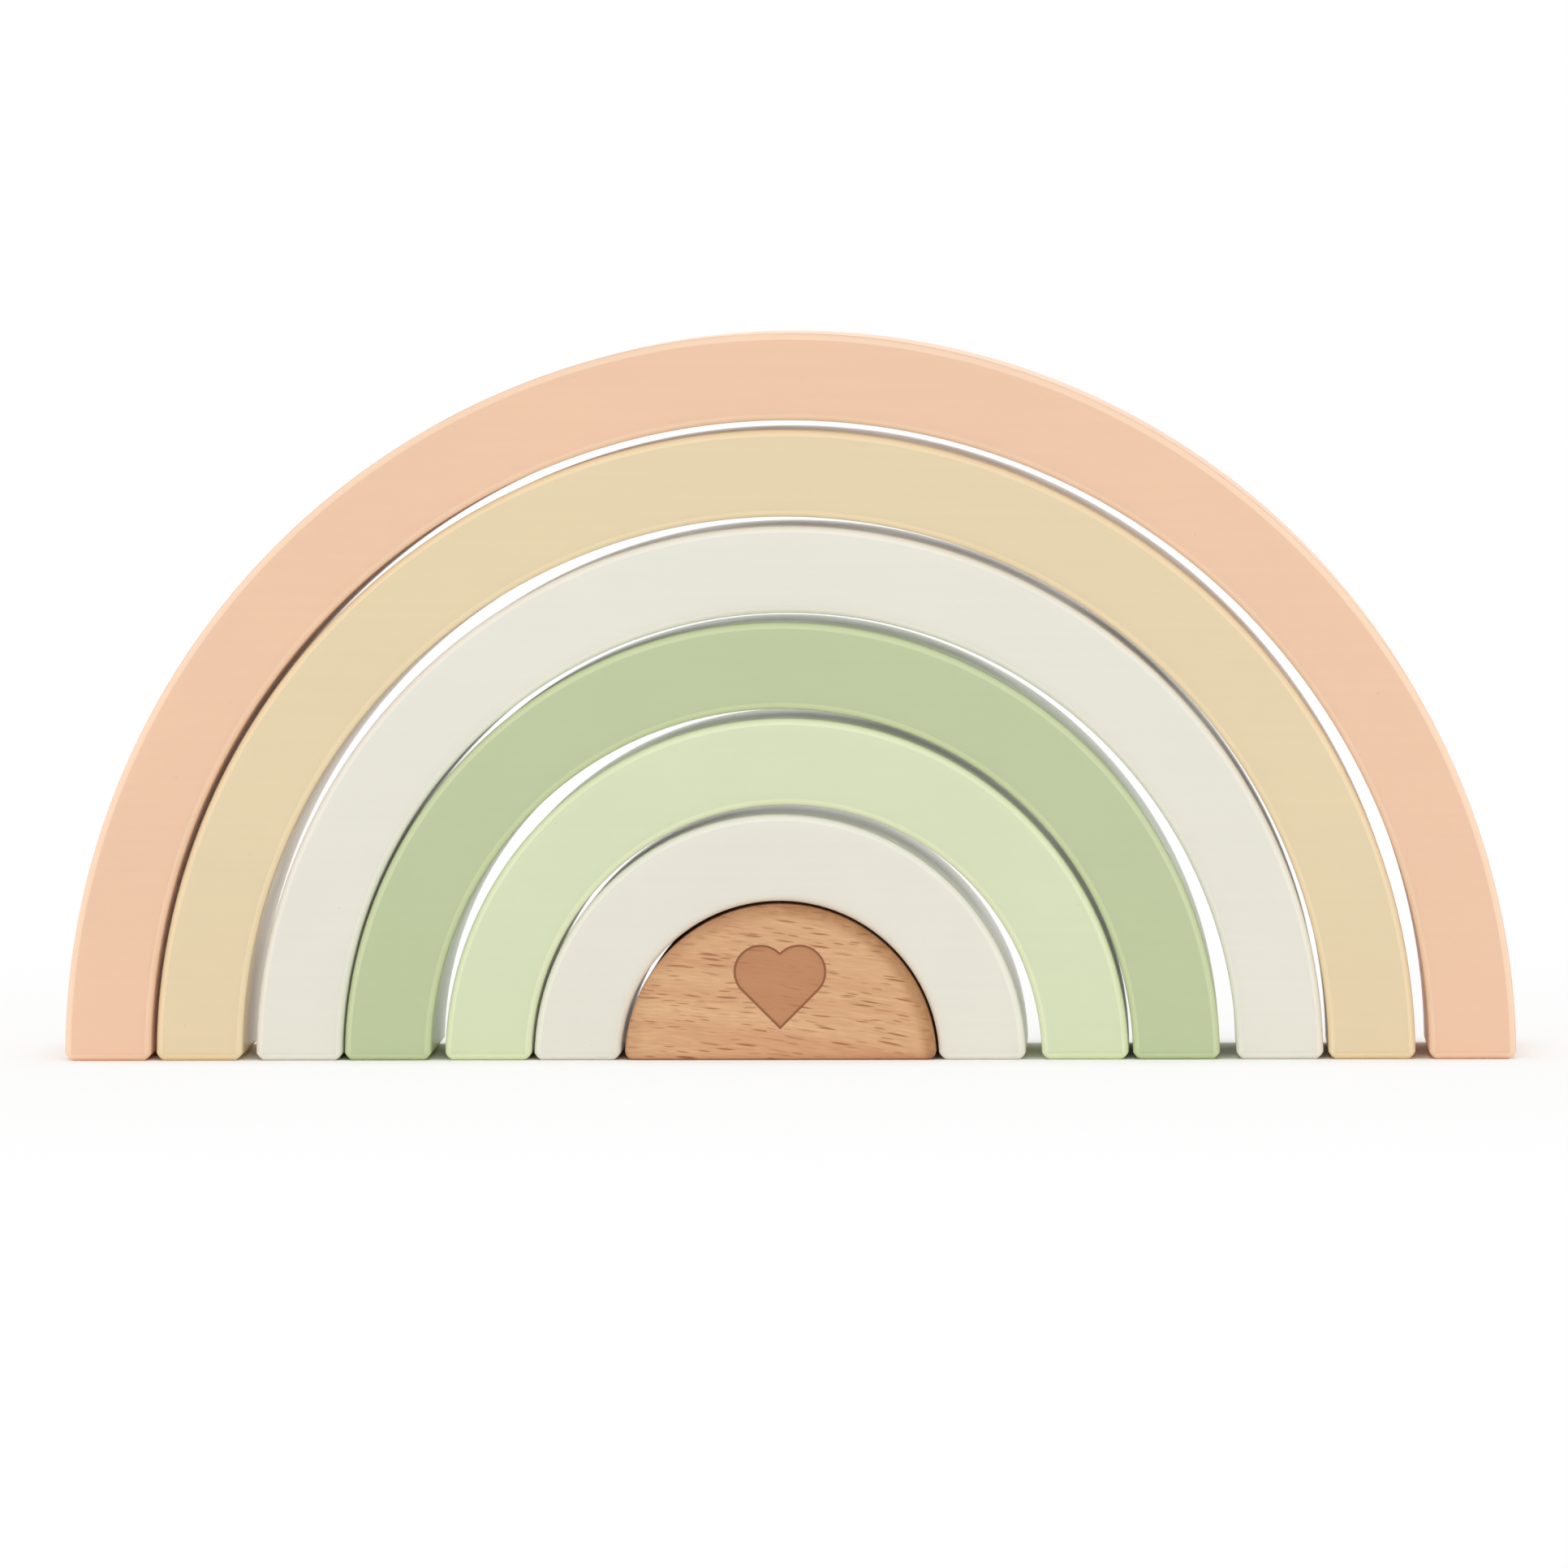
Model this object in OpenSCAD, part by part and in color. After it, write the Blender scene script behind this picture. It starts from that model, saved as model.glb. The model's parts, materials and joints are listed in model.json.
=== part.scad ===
// Rainbow stacker: six wooden arches that nest over a half-round core block.
// X runs across the set, Y from front to back and Z up. Every piece stands on Z = 0,
// and the largest arch is centred on the origin.

/* [Set] */
// Depth of every piece from front to back
set_depth = 40; // [25:1:80]

/* [Core block] */
// Radius of the half-round core block
core_r = 30.3; // [26:0.1:45]
// Width of the core block's sanded edges
core_edge = 1.8; // [0.5:0.1:4]
// Clearance between the core block and the arch over it
core_gap = 0.6; // [0.4:0.1:3]

/* [Heart mark] */
// Width of the heart sunk into the core block's front
heart_w = 18; // [8:0.5:18]
// Height of the heart's point above the floor
heart_rise = 6; // [3:0.5:8]
// Depth of the heart
heart_sink = 0.4; // [0.2:0.1:2]

/* [Arches] */
// Thickness of each arch, from its inner curve to its outer curve
arch_wall = 16.8; // [10:0.1:30]
// Clearance between one arch and the next
nest_gap = 1.8; // [1:0.1:4]
// Width of the arches' sanded edges
arch_edge = 1.4; // [0.4:0.1:3]

/* [Hidden] */
$fn = 96;

// Finishes
beech = "#D6A87E";
white = "#E7E4D9";
light_green = "#D8E0BD";
sage_green = "#BFCBA2";
sand = "#E9D5B0";
peach = "#F2C9AB";

// Arches, counted from the core outwards
arch_count = 6;

// How far each arch stands off the middle of the gap around it, as a share of that gap
arch_lean_shares = [-0.72, 0.53, -0.77, 0.46, -0.46, 0];
// The same for the core block under the first arch
core_lean_share = 0.2;

// Radius of a sanded edge's arc, as a share of the edge's width
edge_arc_share = 1.25;
// How far a cut runs past the faces that it goes through
overrun = 1;

function arch_inner_r(k) = core_r + core_gap + (k - 1) * (arch_wall + nest_gap);
function arch_outer_r(k) = arch_inner_r(k) + arch_wall;

// Each arch's place follows the place of the arch around it
function arch_x(k) =
    k == arch_count ? 0 : arch_x(k + 1) + arch_lean_shares[k - 1] * nest_gap;
core_x = arch_x(1) + core_lean_share * core_gap;

// What sanding takes off a square corner at the origin, whose wood fills the first quadrant.
// The arc leaves each face one edge width from the corner.
module sanded_off(edge) {
    arc_centre = edge * (1 + sqrt(2 * pow(edge_arc_share, 2) - 1)) / 2;
    difference() {
        translate([-overrun, -overrun])
            square(arc_centre + overrun);
        translate([arc_centre, arc_centre])
            circle(r = edge_arc_share * edge);
    }
}

// Section of a piece across its depth, between two radii, with the outer edges sanded
module section(inner_r, outer_r, edge, sand_inner) {
    difference() {
        translate([inner_r, -set_depth / 2])
            square([outer_r - inner_r, set_depth]);
        for (front = [0, 1])
            mirror([0, front])
                translate([outer_r, -set_depth / 2])
                    mirror([1, 0])
                        sanded_off(edge);
        if (sand_inner)
            for (front = [0, 1])
                mirror([0, front])
                    translate([inner_r, -set_depth / 2])
                        sanded_off(edge);
    }
}

// Half turn of a section, standing on its two ends
module half_ring() {
    rotate([90, 0, 0])
        rotate_extrude(angle = 180)
            children();
}

// Bars that round the lower front and back edges of a piece of half width r
module long_foot_cuts(r, edge) {
    for (back = [0, 1])
        mirror([0, back, 0])
            translate([-r - overrun, -set_depth / 2, 0])
                rotate([90, 0, 90])
                    linear_extrude(2 * (r + overrun))
                        sanded_off(edge);
}

// Bars that round the lower side edges: at x on both sides, with the wood towards the middle or away
module side_foot_cuts(x, edge, wood_inside) {
    for (side = [0, 1])
        mirror([side, 0, 0])
            translate([x, set_depth / 2 + overrun, 0])
                mirror([wood_inside ? 1 : 0, 0, 0])
                    rotate([90, 0, 0])
                        linear_extrude(set_depth + 2 * overrun)
                            sanded_off(edge);
}

// A square on its corner with a circle on each upper side
module heart() {
    side = heart_w / (1 + sqrt(2) / 2);
    rotate(45)
        square(side);
    for (lobe = [-1, 1])
        translate([lobe * side * sqrt(2) / 4, side * 3 * sqrt(2) / 4])
            circle(d = side);
}

module arch(k) {
    translate([arch_x(k), 0, 0])
        difference() {
            half_ring()
                section(arch_inner_r(k), arch_outer_r(k), arch_edge, true);
            long_foot_cuts(arch_outer_r(k), arch_edge);
            side_foot_cuts(arch_outer_r(k), arch_edge, true);
            side_foot_cuts(arch_inner_r(k), arch_edge, false);
        }
}

module core_block() {
    color(beech)
        translate([core_x, 0, 0])
            difference() {
                half_ring()
                    section(0, core_r, core_edge, false);
                long_foot_cuts(core_r, core_edge);
                side_foot_cuts(core_r, core_edge, true);
                translate([0, heart_sink - set_depth / 2, heart_rise])
                    rotate([90, 0, 0])
                        linear_extrude(heart_sink + overrun)
                            heart();
            }
}

module inner_white_arch() {
    color(white)
        arch(1);
}

module light_green_arch() {
    color(light_green)
        arch(2);
}

module sage_green_arch() {
    color(sage_green)
        arch(3);
}

module outer_white_arch() {
    color(white)
        arch(4);
}

module sand_arch() {
    color(sand)
        arch(5);
}

module peach_arch() {
    color(peach)
        arch(6);
}

core_block();
inner_white_arch();
light_green_arch();
sage_green_arch();
outer_white_arch();
sand_arch();
peach_arch();
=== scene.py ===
import json
import math

import bpy
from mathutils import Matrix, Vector

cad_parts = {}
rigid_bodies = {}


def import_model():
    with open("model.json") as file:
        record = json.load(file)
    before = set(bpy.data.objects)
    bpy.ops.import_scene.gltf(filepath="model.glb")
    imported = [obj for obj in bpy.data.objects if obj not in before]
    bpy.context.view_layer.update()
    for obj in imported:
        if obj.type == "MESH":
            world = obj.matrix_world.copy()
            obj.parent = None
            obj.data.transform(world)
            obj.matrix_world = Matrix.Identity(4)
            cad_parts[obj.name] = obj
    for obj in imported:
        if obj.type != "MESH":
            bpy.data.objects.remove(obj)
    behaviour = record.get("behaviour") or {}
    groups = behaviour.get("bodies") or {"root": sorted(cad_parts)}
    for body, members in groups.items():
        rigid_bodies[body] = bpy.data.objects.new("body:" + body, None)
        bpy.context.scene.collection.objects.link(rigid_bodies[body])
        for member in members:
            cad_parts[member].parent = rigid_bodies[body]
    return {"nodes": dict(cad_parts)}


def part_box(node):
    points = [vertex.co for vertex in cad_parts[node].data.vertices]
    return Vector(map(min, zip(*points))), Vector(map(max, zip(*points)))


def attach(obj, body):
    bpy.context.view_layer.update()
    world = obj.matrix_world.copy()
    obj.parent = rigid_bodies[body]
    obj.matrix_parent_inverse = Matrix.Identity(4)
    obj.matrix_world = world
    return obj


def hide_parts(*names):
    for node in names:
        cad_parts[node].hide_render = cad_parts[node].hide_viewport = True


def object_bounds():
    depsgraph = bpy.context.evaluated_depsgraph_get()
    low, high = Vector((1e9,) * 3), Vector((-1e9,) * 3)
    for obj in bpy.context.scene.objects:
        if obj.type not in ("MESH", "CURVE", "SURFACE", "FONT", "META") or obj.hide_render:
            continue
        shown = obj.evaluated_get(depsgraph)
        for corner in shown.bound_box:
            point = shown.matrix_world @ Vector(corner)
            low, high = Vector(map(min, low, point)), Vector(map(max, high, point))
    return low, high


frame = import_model()
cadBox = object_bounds()

mm = 0.001
setLow, setHigh = cadBox
setWidth = setHigh.x - setLow.x
frontY = setLow.y
weldDistance = 0.001 * mm
sharpAngle = math.radians(60)  # an edge turns at least this much where it is sanded round
smoothAngle = math.radians(40)
noiseLow, noiseHigh = 0.3, 0.7  # nearly all values of a noise lie between these

bpy.context.scene.view_settings.view_transform = "Standard"
bpy.ops.object.select_all(action="DESELECT")
print("frame loaded,", len(frame["nodes"]), "pieces")


# Camera: a long lens, to the right of the middle and above the crown
viewpoint = {
    "place": (70.4 * mm, -1912 * mm, 166.6 * mm),
    "aim": (-0.65 * mm, frontY, 53.62 * mm),
    "lens": 225.2,  # mm
    "sensor": 36,  # mm
    "roll": -0.26,  # degrees
    "farLimit": 50,  # m
}
bpy.ops.object.camera_add(location=viewpoint["place"])
camera = bpy.context.object
camera.name = "camera"
lookAlong = Vector(viewpoint["aim"]) - Vector(viewpoint["place"])
camera.rotation_euler = lookAlong.to_track_quat("-Z", "Y").to_euler()
camera.rotation_euler.rotate_axis("Z", math.radians(viewpoint["roll"]))
camera.data.sensor_width = viewpoint["sensor"]
camera.data.lens = viewpoint["lens"]
camera.data.clip_end = viewpoint["farLimit"]
bpy.context.scene.camera = camera
print("camera set")


def hexToLinear(hexColour):
    channels = [int(hexColour[i:i + 2], 16) / 255 for i in (1, 3, 5)]
    return [c / 12.92 if c <= 0.04045 else ((c + 0.055) / 1.055) ** 2.4 for c in channels] + [1]


def addNode(tree, kind, inputs=None, **settings):
    node = tree.nodes.new("ShaderNode" + kind)
    for name, value in settings.items():
        setattr(node, name, value)
    for socket, value in (inputs or {}).items():
        if isinstance(value, bpy.types.NodeSocket):
            tree.links.new(value, node.inputs[socket])
        else:
            node.inputs[socket].default_value = value
    return node


def facingFrontOrBack(tree, coords):
    facing = addNode(tree, "SeparateXYZ", {"Vector": coords.outputs["Normal"]})
    return addNode(tree, "Math", {0: facing.outputs["Y"]}, operation="ABSOLUTE").outputs["Value"]


def multiplyAll(tree, layers):
    product = layers[0]
    for layer in layers[1:]:
        product = addNode(tree, "Math", {0: product, 1: layer}, operation="MULTIPLY").outputs["Value"]
    return product


# Satin acrylic, sprayed over sanded wood: an even chalky colour with a soft sheen, a fine stippled
# skin, a faint pull of the grain below it and rare dust specks. It lies thin and warm on sanded edges,
# and their paler edge colour is a painted highlight. The sawn curves take it less evenly, so a few open
# pores speckle them. Seen along the surface it glows in its own colour and looks glossier.
paintSkin = {
    "cloud": 30 * mm,
    "cloudTone": (0.985, 1.01),
    "grainLength": 45 * mm,
    "grainWidth": 1.2 * mm,
    "grainTone": (0.993, 1.004),
    "speckSpacing": 6 * mm,
    "speckSize": 0.16 * mm,
    "speckTone": 0.78,
    "poreSpacing": 1.5 * mm,
    "poreSize": 0.16 * mm,
    "poreShade": 0.16,
    "poresFilled": 0.4,  # the share of pores that the paint closes
    "curveFacing": (0.2, 0.5),  # a curve ends where its surface looks this far forwards or back
    "roughness": (0.42, 0.5),
    "curveGloss": 0.1,  # how much smoother the curves are
    "glanceGloss": 0.16,  # and how much more they seem so when seen along the surface
    "glanceFacing": (0.75, 0.95),
    "glow": 0.6,
    "glowRoughness": 0.28,
    "stipple": 0.9 * mm,
    "stippleHeight": 0.02 * mm,
    "grainRelief": 0.6,  # against the stipple's
    "skinStrength": 0.35,
}


def satinPaint(name, colour, edgeHighlightColour, glanceGloss=paintSkin["glanceGloss"]):
    material = bpy.data.materials.new(name)
    material.use_nodes = True
    tree = material.node_tree
    shader = tree.nodes["Principled BSDF"]
    coords = addNode(tree, "TexCoord")
    place = coords.outputs["Object"]

    cloud = addNode(tree, "TexNoise", {"Vector": place, "Scale": 1 / paintSkin["cloud"], "Detail": 2.0})
    cloudLow, cloudHigh = paintSkin["cloudTone"]
    cloudTone = addNode(tree, "MapRange", {
        "Value": cloud.outputs["Fac"], "From Min": noiseLow, "From Max": noiseHigh,
        "To Min": cloudLow, "To Max": cloudHigh})

    grainScale = (1 / paintSkin["grainLength"], 1 / paintSkin["grainWidth"], 1 / paintSkin["grainWidth"])
    grainPlace = addNode(tree, "Mapping", {"Vector": place, "Scale": grainScale})
    grain = addNode(tree, "TexNoise", {"Vector": grainPlace.outputs["Vector"], "Scale": 1.0, "Detail": 2.0})
    grainLow, grainHigh = paintSkin["grainTone"]
    grainTone = addNode(tree, "MapRange", {
        "Value": grain.outputs["Fac"], "From Min": noiseLow, "From Max": noiseHigh,
        "To Min": grainLow, "To Max": grainHigh})

    speckShare = paintSkin["speckSize"] / paintSkin["speckSpacing"]
    specks = addNode(tree, "TexVoronoi", {"Vector": place, "Scale": 1 / paintSkin["speckSpacing"]})
    speckTone = addNode(tree, "MapRange", {
        "Value": specks.outputs["Distance"], "From Min": 0.5 * speckShare, "From Max": speckShare,
        "To Min": paintSkin["speckTone"], "To Max": 1.0})

    # The sawn curves are where the surface looks neither forwards nor back
    curveAll, curveNone = paintSkin["curveFacing"]
    sawnCurve = addNode(tree, "MapRange", {
        "Value": facingFrontOrBack(tree, coords), "From Min": curveAll, "From Max": curveNone,
        "To Min": 1.0, "To Max": 0.0}).outputs["Result"]
    poreShare = paintSkin["poreSize"] / paintSkin["poreSpacing"]
    pores = addNode(tree, "TexVoronoi", {"Vector": place, "Scale": 1 / paintSkin["poreSpacing"]})
    poreDark = addNode(tree, "MapRange", {
        "Value": pores.outputs["Distance"], "From Min": poreShare, "From Max": 2 * poreShare,
        "To Min": paintSkin["poreShade"], "To Max": 0.0})
    poreChance = addNode(tree, "SeparateColor", {"Color": pores.outputs["Color"]})
    poreOpen = addNode(tree, "MapRange", {
        "Value": poreChance.outputs["Red"], "From Min": paintSkin["poresFilled"]})
    poreOnCurve = multiplyAll(tree, [poreDark.outputs["Result"], poreOpen.outputs["Result"], sawnCurve])
    poreTone = addNode(tree, "Math", {0: 1.0, 1: poreOnCurve}, operation="SUBTRACT")

    tone = multiplyAll(tree, [
        cloudTone.outputs["Result"], grainTone.outputs["Result"], speckTone.outputs["Result"],
        poreTone.outputs["Value"]])
    # Painted highlight: the sanded edges take the paler edge colour, besides the thin warm paint there
    edgeHighlightMask = addNode(tree, "Attribute", attribute_name="sandedEdgeHighlight")
    paint = addNode(tree, "Mix", {
        "Factor": edgeHighlightMask.outputs["Fac"], "A": hexToLinear(colour), "B": hexToLinear(edgeHighlightColour)},
        data_type="RGBA")
    painted = addNode(tree, "VectorMath", {0: paint.outputs["Result"], "Scale": tone}, operation="SCALE")
    tree.links.new(painted.outputs["Vector"], shader.inputs["Base Color"])

    smooth, rough = paintSkin["roughness"]
    matt = addNode(tree, "MapRange", {
        "Value": cloud.outputs["Fac"], "From Min": noiseLow, "From Max": noiseHigh,
        "To Min": smooth, "To Max": rough})
    glanceStart, glanceFull = paintSkin["glanceFacing"]
    glancing = addNode(tree, "LayerWeight")
    smoother = addNode(tree, "MapRange", {
        "Value": glancing.outputs["Facing"], "From Min": glanceStart, "From Max": glanceFull,
        "To Min": -paintSkin["curveGloss"], "To Max": -paintSkin["curveGloss"] - glanceGloss})
    roughness = addNode(tree, "Math", {
        0: sawnCurve, 1: smoother.outputs["Result"], 2: matt.outputs["Result"]}, operation="MULTIPLY_ADD")
    tree.links.new(roughness.outputs["Value"], shader.inputs["Roughness"])

    shader.inputs["Sheen Weight"].default_value = paintSkin["glow"]
    shader.inputs["Sheen Roughness"].default_value = paintSkin["glowRoughness"]
    shader.inputs["Sheen Tint"].default_value = hexToLinear(edgeHighlightColour)

    stipple = addNode(tree, "TexNoise", {"Vector": place, "Scale": 1 / paintSkin["stipple"], "Detail": 1.0})
    skinHeight = addNode(tree, "Math", {
        0: grain.outputs["Fac"], 1: paintSkin["grainRelief"], 2: stipple.outputs["Fac"]},
        operation="MULTIPLY_ADD")
    skin = addNode(tree, "Bump", {
        "Strength": paintSkin["skinStrength"], "Distance": paintSkin["stippleHeight"],
        "Height": skinHeight.outputs["Value"]})
    tree.links.new(skin.outputs["Normal"], shader.inputs["Normal"])
    return material


def weldMesh():
    bpy.ops.mesh.select_all(action="SELECT")
    bpy.ops.mesh.remove_doubles(threshold=weldDistance)
    bpy.ops.mesh.normals_make_consistent(inside=False)


def sandSharpEdges(width, segments, profile):
    bpy.ops.mesh.select_all(action="DESELECT")
    bpy.ops.mesh.select_mode(type="EDGE")
    bpy.ops.mesh.edges_select_sharp(sharpness=sharpAngle)
    bpy.ops.mesh.bevel(offset=width, segments=segments, affect="EDGES", profile=profile)


def smoothSurface(piece):
    bpy.ops.object.shade_smooth_by_angle(angle=smoothAngle)
    piece.modifiers.new("flatFaces", "WEIGHTED_NORMAL")
    bpy.ops.object.modifier_apply(modifier="flatFaces")


# One arch: its foot is drawn flat, spun over to the other side and sanded round along every edge
archForm = {
    "wall": 16.8 * mm,
    "edge": 1.4 * mm,
    "edgeSegments": 6,
    "edgeProfile": 0.4,  # flatter than a true round, so that its borders show as fine lines
    "stepLength": 1.7 * mm,  # along the inner curve, longer than the edge is wide
    "acrossWall": 6,
    "acrossDepth": 14,
    "sandingWave": 22 * mm,
    "sandingDepth": 0.25 * mm,
}


def makeArch(arch):
    low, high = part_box(arch["node"])
    centreX = (low.x + high.x) / 2
    outerR = (high.x - low.x) / 2
    innerR = outerR - archForm["wall"]
    footX = centreX + (innerR + outerR) / 2

    bpy.ops.mesh.primitive_grid_add(
        x_subdivisions=archForm["acrossWall"], y_subdivisions=archForm["acrossDepth"],
        size=1, location=(footX, (low.y + high.y) / 2, 0))
    piece = bpy.context.object
    piece.name = arch["name"]
    piece.scale = (archForm["wall"], high.y - low.y, 1)
    bpy.ops.object.transform_apply(location=True, rotation=False, scale=True)

    bpy.ops.object.mode_set(mode="EDIT")
    steps = int(math.pi * innerR / archForm["stepLength"])
    bpy.ops.mesh.select_all(action="SELECT")
    bpy.ops.mesh.spin(steps=steps, angle=math.pi, center=(centreX, 0, 0), axis=(0, 1, 0))
    weldMesh()

    sandSharpEdges(archForm["edge"], archForm["edgeSegments"], archForm["edgeProfile"])
    bpy.ops.mesh.select_mode(type="FACE")
    bpy.ops.mesh.select_less()  # the flat faces keep their own border
    bpy.ops.object.vertex_group_add()
    bpy.ops.object.vertex_group_assign()
    bpy.ops.object.mode_set(mode="OBJECT")
    edgeGroup = piece.vertex_groups[0]

    # Sanding by hand takes a little more here and a little less there
    sanding = bpy.data.textures.new("sanding", type="CLOUDS")
    sanding.noise_scale = archForm["sandingWave"]
    wave = piece.modifiers.new("handSanding", "DISPLACE")
    wave.texture = sanding
    wave.texture_coords = "LOCAL"
    wave.vertex_group = edgeGroup.name
    wave.mid_level = 1.0
    wave.strength = archForm["sandingDepth"]
    bpy.ops.object.modifier_apply(modifier="handSanding")

    # The sanded edges are marked for their painted highlight
    sandedEdgeHighlight = piece.data.attributes.new("sandedEdgeHighlight", "FLOAT", "POINT")
    for vertex in piece.data.vertices:
        sandedEdgeHighlight.data[vertex.index].value = 1.0 if vertex.groups else 0.0

    smoothSurface(piece)
    piece.data.materials.append(arch["paint"])
    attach(piece, arch["body"])
    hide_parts(arch["node"])
    bpy.ops.object.select_all(action="DESELECT")
    print(arch["name"], "made,", len(piece.data.polygons), "faces")


# Each paint's second colour is paler for its sanded edges: thin paint there, and a painted highlight
whitePaint = satinPaint("whiteSatinAcrylic", "#EBE8DD", "#F4F1E6")

innerWhiteArch = {
    "name": "innerWhiteArch",
    "node": "inner_white_arch",
    "body": "inner_white",
    "slot": "white_paint",
    "paint": whitePaint,
}
makeArch(innerWhiteArch)

lightGreenArch = {
    "name": "lightGreenArch",
    "node": "light_green_arch",
    "body": "light_green",
    "slot": "light_green_paint",
    "paint": satinPaint("lightGreenSatinAcrylic", "#DBE3C0", "#EAF1CC"),
}
makeArch(lightGreenArch)

sageGreenArch = {
    "name": "sageGreenArch",
    "node": "sage_green_arch",
    "body": "sage_green",
    "slot": "sage_green_paint",
    "paint": satinPaint("sageGreenSatinAcrylic", "#C0CCA3", "#D1DCB0"),
}
makeArch(sageGreenArch)

outerWhiteArch = {
    "name": "outerWhiteArch",
    "node": "outer_white_arch",
    "body": "outer_white",
    "slot": "white_paint",
    "paint": whitePaint,
}
makeArch(outerWhiteArch)

sandArch = {
    "name": "sandArch",
    "node": "sand_arch",
    "body": "sand",
    "slot": "sand_paint",
    "paint": satinPaint("sandSatinAcrylic", "#E9D6B1", "#F6E2BB"),
}
makeArch(sandArch)

peachArch = {
    "name": "peachArch",
    "node": "peach_arch",
    "body": "peach",
    "slot": "peach_paint",
    "paint": satinPaint("peachSatinAcrylic", "#F2C9AB", "#FAD7BA", glanceGloss=0),  # a flatter paint
}
makeArch(peachArch)


# Core block: a half round of beech with a heart burnt into its front
coreBlock = {
    "edge": 1.8 * mm,
    "edgeSegments": 8,
    "edgeProfile": 0.5,
    "sides": 96,  # of the whole round; each is longer than the edge is wide
    "heartWidth": 18 * mm,
    "heartRise": 6 * mm,
    "heartSink": 0.4 * mm,
    "heartSteps": 40,  # along each lobe's half round
    "burntOutline": 0.45 * mm,
    "floorBurn": 0.5,  # how burnt the heart's floor is
    "outlineBurn": 1.0,  # and its outline and walls
}
coreLow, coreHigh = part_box("core_block")
coreX = (coreLow.x + coreHigh.x) / 2
coreR = (coreHigh.x - coreLow.x) / 2

# Beech, planed and sanded on the growth rings' face, then oiled: pale bands along the grain, fine
# fibres and many short dark flecks where the rays end. Its rim is darkened with painted shade, most on
# one shoulder
beechLook = {
    "pale": "#E2B68A",
    "dark": "#D5A079",
    "fleck": "#A46B41",
    # the rim colour is painted shade
    "rim": "#9A6736",
    "burn": "#B97C55",
    "burnDark": "#8E5836",
    "bandLength": 85 * mm,
    "bandWidth": 5 * mm,
    "fibreLength": 4 * mm,
    "fibreWidth": 0.36 * mm,
    "fibreTone": (0.9, 1.08),
    "flecks": [
        {"length": 7.0 * mm, "width": 0.72 * mm, "depth": 11 * mm, "strength": 0.95},
        {"length": 4.2 * mm, "width": 0.5 * mm, "depth": 8 * mm, "strength": 0.75},
    ],
    "fleckSpan": (0.2, 0.36),  # from a fleck's dark middle to its end, in lengths
    "fleckChance": (0.4, 0.85),
    "fleckGroove": 0.6,
    "fleckRow": 2 * mm,
    "rowShift": 12 * mm,
    "grainCrown": -65 * mm,  # where the grain's long arch is highest
    "grainBow": 0.88 / 1000 / mm,
    "grainWander": 18 * mm,
    "wanderHeight": 1.6 * mm,
    "curveFacing": (0.2, 0.6),
    "curveShare": 0.25,  # what is left of flecks and of the rim's painted shade on the sawn curve
    "rimWidth": 4.2 * mm,
    "rimPatch": 2.5 * mm,
    "rimPatchShare": (0.6, 1.0),
    "shadedShoulder": (0.75, 0, 0.66),
    "shoulderReach": (-0.2, 0.9),
    "shoulderShare": (0.3, 0.9),
    "burnShare": 0.75,
    "outlineShare": 0.8,
    "roughness": (0.48, 0.64),
    "reliefStrength": 0.4,
    "reliefHeight": 0.04 * mm,
}


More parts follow.
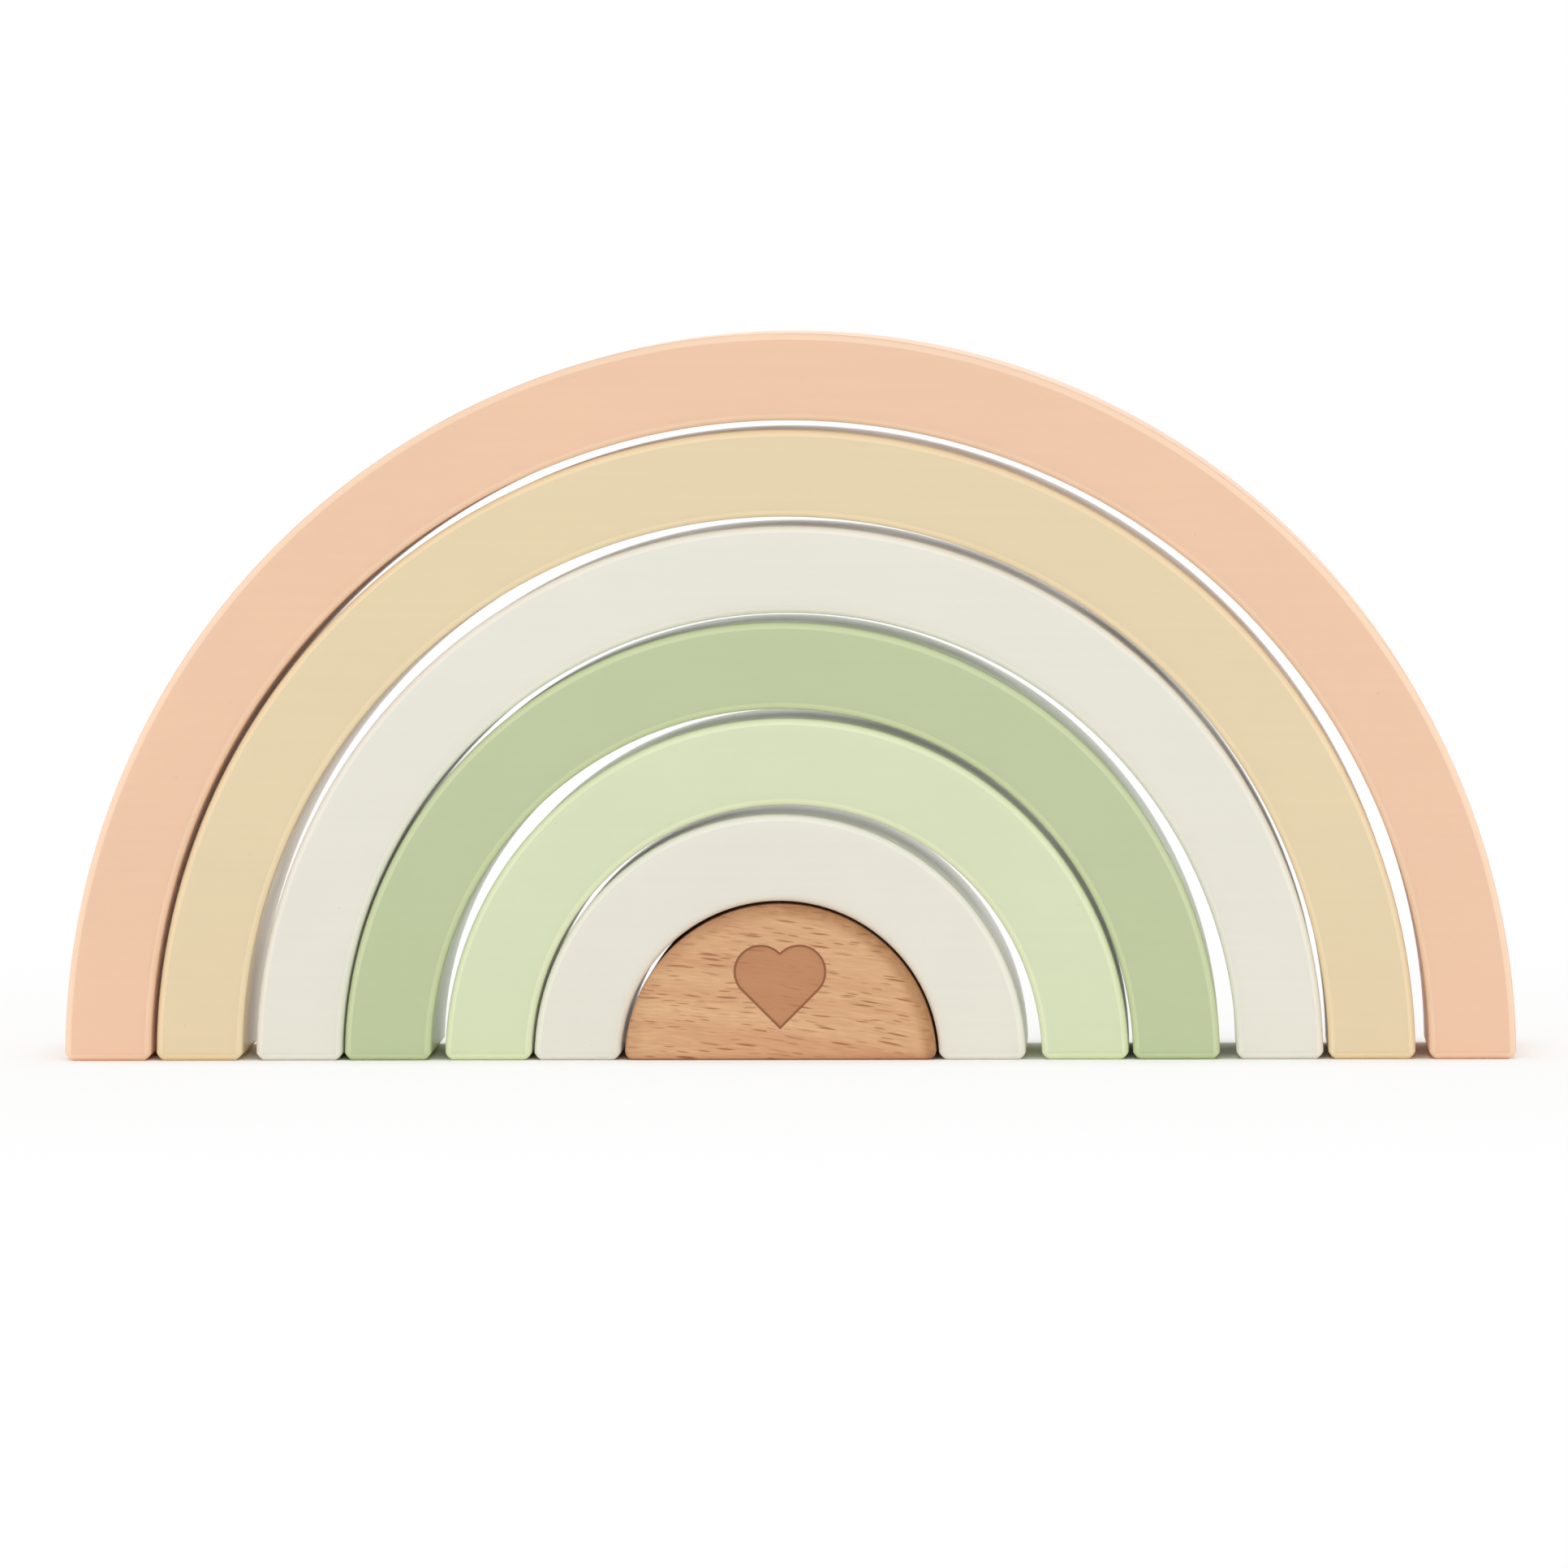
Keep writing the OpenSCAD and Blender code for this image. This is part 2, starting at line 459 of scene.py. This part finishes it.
def beechWood(name):
    material = bpy.data.materials.new(name)
    material.use_nodes = True
    tree = material.node_tree
    shader = tree.nodes["Principled BSDF"]
    coords = addNode(tree, "TexCoord")
    place = coords.outputs["Object"]
    split = addNode(tree, "SeparateXYZ", {"Vector": place})

    # On the sawn curve the rays lie along the surface, so the flecks fade there, and the painted shade of
    # the rim is weaker there too
    curveAll, curveNone = beechLook["curveFacing"]
    flatFace = addNode(tree, "MapRange", {
        "Value": facingFrontOrBack(tree, coords), "From Min": curveAll, "From Max": curveNone,
        "To Min": beechLook["curveShare"]}).outputs["Result"]

    # The grain slopes down to one side in a long low arch and wanders a little
    fromCrown = addNode(tree, "Math", {
        0: split.outputs["X"], 1: beechLook["grainCrown"]}, operation="SUBTRACT")
    squared = addNode(tree, "Math", {0: fromCrown.outputs["Value"], 1: 2.0}, operation="POWER")
    wander = addNode(tree, "TexNoise", {
        "Vector": place, "Scale": 1 / beechLook["grainWander"], "Detail": 1.0})
    bowed = addNode(tree, "Math", {
        0: squared.outputs["Value"], 1: beechLook["grainBow"], 2: split.outputs["Z"]},
        operation="MULTIPLY_ADD")
    wandered = addNode(tree, "Math", {
        0: wander.outputs["Fac"], 1: beechLook["wanderHeight"], 2: bowed.outputs["Value"]},
        operation="MULTIPLY_ADD")
    along = addNode(tree, "CombineXYZ", {
        "X": split.outputs["X"], "Y": split.outputs["Y"], "Z": wandered.outputs["Value"]}).outputs["Vector"]

    bandPlace = addNode(tree, "Mapping", {"Vector": along, "Scale": (
        1 / beechLook["bandLength"], 0.5 / beechLook["bandWidth"], 1 / beechLook["bandWidth"])})
    bands = addNode(tree, "TexNoise", {"Vector": bandPlace.outputs["Vector"], "Scale": 1.0, "Detail": 3.0})
    bandShare = addNode(tree, "MapRange", {
        "Value": bands.outputs["Fac"], "From Min": noiseLow, "From Max": noiseHigh})
    wood = addNode(tree, "Mix", {
        "Factor": bandShare.outputs["Result"], "A": hexToLinear(beechLook["pale"]),
        "B": hexToLinear(beechLook["dark"])}, data_type="RGBA")

    fibrePlace = addNode(tree, "Mapping", {"Vector": along, "Scale": (
        1 / beechLook["fibreLength"], 0.5 / beechLook["fibreWidth"], 1 / beechLook["fibreWidth"])})
    fibre = addNode(tree, "TexNoise", {"Vector": fibrePlace.outputs["Vector"], "Scale": 1.0, "Detail": 2.0})
    fibreLow, fibreHigh = beechLook["fibreTone"]
    fibreTone = addNode(tree, "MapRange", {
        "Value": fibre.outputs["Fac"], "From Min": noiseLow, "From Max": noiseHigh,
        "To Min": fibreLow, "To Max": fibreHigh})
    fibred = addNode(tree, "VectorMath", {
        0: wood.outputs["Result"], "Scale": fibreTone.outputs["Result"]}, operation="SCALE")

    # Rows of flecks are shifted along the grain by different amounts, so that no two line up
    rowPlace = addNode(tree, "Mapping", {"Vector": along, "Scale": (
        1 / beechLook["bandLength"], 1 / beechLook["bandWidth"], 1 / beechLook["fleckRow"])})
    rows = addNode(tree, "TexNoise", {"Vector": rowPlace.outputs["Vector"], "Scale": 1.0, "Detail": 0.0})
    shifted = addNode(tree, "Math", {
        0: rows.outputs["Fac"], 1: beechLook["rowShift"], 2: split.outputs["X"]}, operation="MULTIPLY_ADD")
    scattered = addNode(tree, "CombineXYZ", {
        "X": shifted.outputs["Value"], "Y": split.outputs["Y"], "Z": wandered.outputs["Value"]})

    # Each fleck is a spindle about a scattered point; some come out faint
    woodColour = fibred.outputs["Vector"]
    grooves = fibre.outputs["Fac"]
    fleckMiddle, fleckEnd = beechLook["fleckSpan"]
    faint, clear = beechLook["fleckChance"]
    for fleck in beechLook["flecks"]:
        fleckPlace = addNode(tree, "Mapping", {"Vector": scattered.outputs["Vector"], "Scale": (
            1 / fleck["length"], 1 / fleck["depth"], 1 / fleck["width"])})
        spindles = addNode(tree, "TexVoronoi", {"Vector": fleckPlace.outputs["Vector"], "Scale": 1.0})
        spindle = addNode(tree, "MapRange", {
            "Value": spindles.outputs["Distance"], "From Min": fleckMiddle, "From Max": fleckEnd,
            "To Min": fleck["strength"], "To Max": 0.0})
        chance = addNode(tree, "SeparateColor", {"Color": spindles.outputs["Color"]})
        drawn = addNode(tree, "MapRange", {
            "Value": chance.outputs["Red"], "From Min": faint, "From Max": clear})
        share = multiplyAll(tree, [spindle.outputs["Result"], drawn.outputs["Result"], flatFace])
        woodColour = addNode(tree, "Mix", {
            "Factor": share, "A": woodColour, "B": hexToLinear(beechLook["fleck"])},
            data_type="RGBA").outputs["Result"]
        grooves = addNode(tree, "Math", {
            0: share, 1: -beechLook["fleckGroove"], 2: grooves}, operation="MULTIPLY_ADD").outputs["Value"]

    # Painted shade: the rim is darkened by its distance from the middle of the round, most on one shoulder
    across = addNode(tree, "Math", {0: split.outputs["X"], 1: coreX}, operation="SUBTRACT")
    outwards = addNode(tree, "CombineXYZ", {"X": across.outputs["Value"], "Z": split.outputs["Z"]})
    radius = addNode(tree, "VectorMath", {0: outwards.outputs["Vector"]}, operation="LENGTH")
    rimNear = addNode(tree, "MapRange", {
        "Value": radius.outputs["Value"], "From Min": coreR - beechLook["rimWidth"], "From Max": coreR},
        interpolation_type="SMOOTHERSTEP")
    heading = addNode(tree, "VectorMath", {0: outwards.outputs["Vector"]}, operation="NORMALIZE")
    shoulder = addNode(tree, "VectorMath", {
        0: heading.outputs["Vector"], 1: beechLook["shadedShoulder"]}, operation="DOT_PRODUCT")
    reachStart, reachFull = beechLook["shoulderReach"]
    leastBrown, mostBrown = beechLook["shoulderShare"]
    shoulderShare = addNode(tree, "MapRange", {
        "Value": shoulder.outputs["Value"], "From Min": reachStart, "From Max": reachFull,
        "To Min": leastBrown, "To Max": mostBrown})
    patches = addNode(tree, "TexNoise", {"Vector": place, "Scale": 1 / beechLook["rimPatch"], "Detail": 3.0})
    patchLow, patchHigh = beechLook["rimPatchShare"]
    patchTone = addNode(tree, "MapRange", {
        "Value": patches.outputs["Fac"], "From Min": noiseLow, "From Max": noiseHigh,
        "To Min": patchLow, "To Max": patchHigh})
    rimShadeShare = multiplyAll(tree, [
        rimNear.outputs["Result"], shoulderShare.outputs["Result"], patchTone.outputs["Result"], flatFace])
    rimShaded = addNode(tree, "Mix", {
        "Factor": rimShadeShare, "A": woodColour, "B": hexToLinear(beechLook["rim"])}, data_type="RGBA")

    # The burnt heart: brown all over, with the grain showing through, and darker along its outline
    burn = addNode(tree, "Attribute", attribute_name="burn").outputs["Fac"]
    burnFill = addNode(tree, "MapRange", {
        "Value": burn, "From Max": coreBlock["floorBurn"], "To Max": beechLook["burnShare"]})
    burnLine = addNode(tree, "MapRange", {
        "Value": burn, "From Min": coreBlock["floorBurn"], "From Max": coreBlock["outlineBurn"],
        "To Max": beechLook["outlineShare"]})
    filled = addNode(tree, "Mix", {
        "Factor": burnFill.outputs["Result"], "A": rimShaded.outputs["Result"],
        "B": hexToLinear(beechLook["burn"])}, data_type="RGBA")
    outlined = addNode(tree, "Mix", {
        "Factor": burnLine.outputs["Result"], "A": filled.outputs["Result"],
        "B": hexToLinear(beechLook["burnDark"])}, data_type="RGBA")
    tree.links.new(outlined.outputs["Result"], shader.inputs["Base Color"])

    smooth, rough = beechLook["roughness"]
    roughness = addNode(tree, "MapRange", {
        "Value": fibre.outputs["Fac"], "To Min": smooth, "To Max": rough})
    tree.links.new(roughness.outputs["Result"], shader.inputs["Roughness"])
    relief = addNode(tree, "Bump", {
        "Strength": beechLook["reliefStrength"], "Distance": beechLook["reliefHeight"], "Height": grooves})
    tree.links.new(relief.outputs["Normal"], shader.inputs["Normal"])
    return material


def makeHeartTool():
    # A round plate's points are moved onto the outline: a half circle over each upper side of a square
    # that stands on its corner. The plate is then drawn out into a bar.
    side = coreBlock["heartWidth"] / (1 + math.sqrt(2) / 2)
    lobeX = side * math.sqrt(2) / 4
    lobeZ = coreBlock["heartRise"] + 3 * lobeX
    steps = coreBlock["heartSteps"]
    outline = [(0, coreBlock["heartRise"])]
    for hand, startAngle, firstStep in ((1, -45, 0), (-1, 45, 1)):
        for step in range(firstStep, steps + 1):
            angle = math.radians(startAngle + 180 * step / steps)
            outline.append((hand * lobeX + side / 2 * math.cos(angle), lobeZ + side / 2 * math.sin(angle)))
    bpy.ops.mesh.primitive_circle_add(vertices=len(outline), fill_type="NGON")
    heart = bpy.context.object
    for vertex, (x, z) in zip(heart.data.vertices, outline):
        vertex.co = (coreX + x, frontY - coreBlock["heartSink"], z)
    bpy.ops.object.mode_set(mode="EDIT")
    bpy.ops.mesh.select_all(action="SELECT")
    bpy.ops.mesh.extrude_region_move(TRANSFORM_OT_translate={"value": (0, 2 * coreBlock["heartSink"], 0)})
    bpy.ops.mesh.select_all(action="SELECT")
    bpy.ops.mesh.normals_make_consistent(inside=False)
    bpy.ops.object.mode_set(mode="OBJECT")
    return heart


def makeCoreBlock():
    depth = coreHigh.y - coreLow.y
    bpy.ops.mesh.primitive_cylinder_add(
        vertices=coreBlock["sides"], radius=coreR, depth=depth,
        location=(coreX, (coreLow.y + coreHigh.y) / 2, 0), rotation=(math.radians(90), 0, 0))
    piece = bpy.context.object
    piece.name = "coreBlock"
    bpy.ops.object.transform_apply(location=True, rotation=True, scale=True)
    bpy.ops.object.mode_set(mode="EDIT")
    bpy.ops.mesh.select_all(action="SELECT")
    bpy.ops.mesh.bisect(plane_co=(coreX, 0, 0), plane_no=(0, 0, 1), use_fill=True, clear_inner=True)
    weldMesh()
    sandSharpEdges(coreBlock["edge"], coreBlock["edgeSegments"], coreBlock["edgeProfile"])
    bpy.ops.object.mode_set(mode="OBJECT")

    heart = makeHeartTool()
    cut = piece.modifiers.new("heart", "BOOLEAN")
    cut.object = heart
    cut.operation = "DIFFERENCE"
    cut.solver = "EXACT"
    bpy.ops.object.select_all(action="DESELECT")
    bpy.context.view_layer.objects.active = piece
    piece.select_set(True)
    bpy.ops.object.modifier_apply(modifier="heart")
    bpy.data.objects.remove(heart)

    # The heart's floor is inset, and the strip left round it is its darker outline
    floorY = frontY + coreBlock["heartSink"]
    closeBy = 0.01 * mm
    bpy.ops.object.mode_set(mode="EDIT")
    bpy.ops.mesh.select_mode(type="FACE")
    bpy.ops.mesh.select_all(action="DESELECT")
    bpy.ops.object.mode_set(mode="OBJECT")
    for face in piece.data.polygons:
        face.select = abs(face.center.y - floorY) < closeBy and face.normal.y < -0.99
    bpy.ops.object.mode_set(mode="EDIT")
    bpy.ops.mesh.inset(thickness=coreBlock["burntOutline"])
    bpy.ops.object.mode_set(mode="OBJECT")
    burn = piece.data.attributes.new("burn", "FLOAT", "FACE")
    burntFaces = 0
    for face in piece.data.polygons:
        fromMiddle = math.hypot(face.center.x - coreX, face.center.z)
        sunk = frontY + coreBlock["heartSink"] / 4 < face.center.y < floorY + closeBy
        if sunk and fromMiddle < coreR - 2 * coreBlock["edge"] and face.center.z > coreBlock["edge"]:
            burn.data[face.index].value = coreBlock["floorBurn" if face.select else "outlineBurn"]
            burntFaces += 1

    smoothSurface(piece)
    piece.data.materials.append(beechWood("oiledBeech"))
    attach(piece, "core")
    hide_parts("core_block")
    bpy.ops.object.select_all(action="DESELECT")
    print("coreBlock made,", len(piece.data.polygons), "faces,", burntFaces, "burnt")


makeCoreBlock()


# Floor: matt white board that fades into the white background, so that only the shadow by the pieces
# shows
studio = {
    "floorSize": 60 * setWidth,
    "floorColour": "#F8F8F6",
    "floorRoughness": 0.9,
    "contactReach": 14 * mm,  # how near a piece keeps the board's own shade
    "contactShade": 0.3,  # the share of open sky at which no white is left
    "openWhite": 0.72,  # the share of white beyond that
    "fadeLength": 0.9 * setWidth,  # from the set to plain white
    "fadeCurve": 0.6,
    "worldLight": 0.43,
    "bounces": 24,
    "diffuseBounces": 16,  # the narrow gaps are lit by light that goes from wall to wall
}

# Large soft lamps all round, with places and sizes in set widths and power in watts
lamps = {
    "frontLamp": {"place": (0, -6, 1.6), "size": 4, "power": 6.9},
    "backLamp": {"place": (0, 6, 1.6), "size": 4, "power": 7.6},
    "topLamp": {"place": (0, -1, 5), "size": 3, "power": 4.4},
    "leftFrontLamp": {"place": (-3.1, -1.1, 1.3), "size": 2, "power": 1.6},
    "rightFrontLamp": {"place": (3.1, -1.1, 1.3), "size": 2, "power": 1.6},
    "leftBackLamp": {"place": (-3.1, 1.1, 1.3), "size": 2, "power": 1.6},
    "rightBackLamp": {"place": (3.1, 1.1, 1.3), "size": 2, "power": 1.6},
}


def seenByCamera(tree):
    # Straight, in a glossy surface or through a clear one
    ray = addNode(tree, "LightPath")
    seen = addNode(tree, "Math", {
        0: ray.outputs["Is Camera Ray"], 1: ray.outputs["Is Glossy Ray"]}, operation="MAXIMUM")
    seenThrough = addNode(tree, "Math", {
        0: seen.outputs["Value"], 1: ray.outputs["Is Transmission Ray"]}, operation="MAXIMUM")
    return seenThrough.outputs["Value"]


def makeFloor():
    bpy.ops.mesh.primitive_plane_add(size=studio["floorSize"], location=(0, 0, 0))
    floor = bpy.context.object
    floor.name = "floor"
    material = bpy.data.materials.new("mattWhiteBoard")
    material.use_nodes = True
    tree = material.node_tree
    board = tree.nodes["Principled BSDF"]
    board.inputs["Base Color"].default_value = hexToLinear(studio["floorColour"])
    board.inputs["Roughness"].default_value = studio["floorRoughness"]
    board.inputs["Specular IOR Level"].default_value = 0.0
    place = addNode(tree, "TexCoord").outputs["Object"]
    # How far a point lies outside the rectangle that the set stands in
    halfSize = (setHigh.x, setHigh.y, 0)
    reach = addNode(tree, "VectorMath", {0: place}, operation="ABSOLUTE")
    past = addNode(tree, "VectorMath", {0: reach.outputs["Vector"], 1: halfSize}, operation="SUBTRACT")
    outside = addNode(tree, "VectorMath", {0: past.outputs["Vector"], 1: (0, 0, 0)}, operation="MAXIMUM")
    distance = addNode(tree, "VectorMath", {0: outside.outputs["Vector"]}, operation="LENGTH")
    nearness = addNode(tree, "MapRange", {
        "Value": distance.outputs["Value"], "From Max": studio["fadeLength"]})
    faded = addNode(tree, "Math", {
        0: nearness.outputs["Result"], 1: studio["fadeCurve"]}, operation="POWER")
    openSky = addNode(tree, "AmbientOcclusion", {"Distance": studio["contactReach"]})
    nearWhite = addNode(tree, "MapRange", {
        "Value": openSky.outputs["AO"], "From Min": studio["contactShade"], "To Max": studio["openWhite"]})
    whiteShare = addNode(tree, "Mix", {
        "Factor": faded.outputs["Value"], "A": nearWhite.outputs["Result"], "B": 1.0})
    share = multiplyAll(tree, [whiteShare.outputs["Result"], seenByCamera(tree)])
    white = addNode(tree, "Emission", {"Color": (1, 1, 1, 1), "Strength": 1.0})
    mixed = addNode(tree, "MixShader", {
        0: share, 1: board.outputs["BSDF"], 2: white.outputs["Emission"]})
    tree.links.new(mixed.outputs["Shader"], tree.nodes["Material Output"].inputs["Surface"])
    floor.data.materials.append(material)
    print("floor made")


def addLamp(name, lamp):
    place = setWidth * Vector(lamp["place"])
    bpy.ops.object.light_add(type="AREA", location=place)
    light = bpy.context.object
    light.name = name
    light.data.shape = "SQUARE"
    light.data.size = lamp["size"] * setWidth
    light.data.energy = lamp["power"]
    light.visible_camera = False
    light.visible_glossy = False  # the white studio gives the gloss, and no lamp burns out a curve
    towards = Vector((0, 0, setHigh.z / 2)) - place
    light.rotation_euler = towards.to_track_quat("-Z", "Y").to_euler()


def lightStudio():
    world = bpy.data.worlds.new("whiteStudio")
    bpy.context.scene.world = world
    world.use_nodes = True
    tree = world.node_tree
    fill = tree.nodes["Background"]
    fill.inputs["Color"].default_value = (1, 1, 1, 1)
    fill.inputs["Strength"].default_value = studio["worldLight"]
    backdrop = addNode(tree, "Background", {"Color": (1, 1, 1, 1), "Strength": 1.0})
    mixed = addNode(tree, "MixShader", {
        0: seenByCamera(tree), 1: fill.outputs["Background"], 2: backdrop.outputs["Background"]})
    tree.links.new(mixed.outputs["Shader"], tree.nodes["World Output"].inputs["Surface"])
    for name, lamp in lamps.items():
        addLamp(name, lamp)
    cycles = bpy.context.scene.cycles
    cycles.max_bounces = studio["bounces"]
    cycles.diffuse_bounces = studio["diffuseBounces"]
    print("studio lit")


makeFloor()
lightStudio()

bpy.context.view_layer.update()
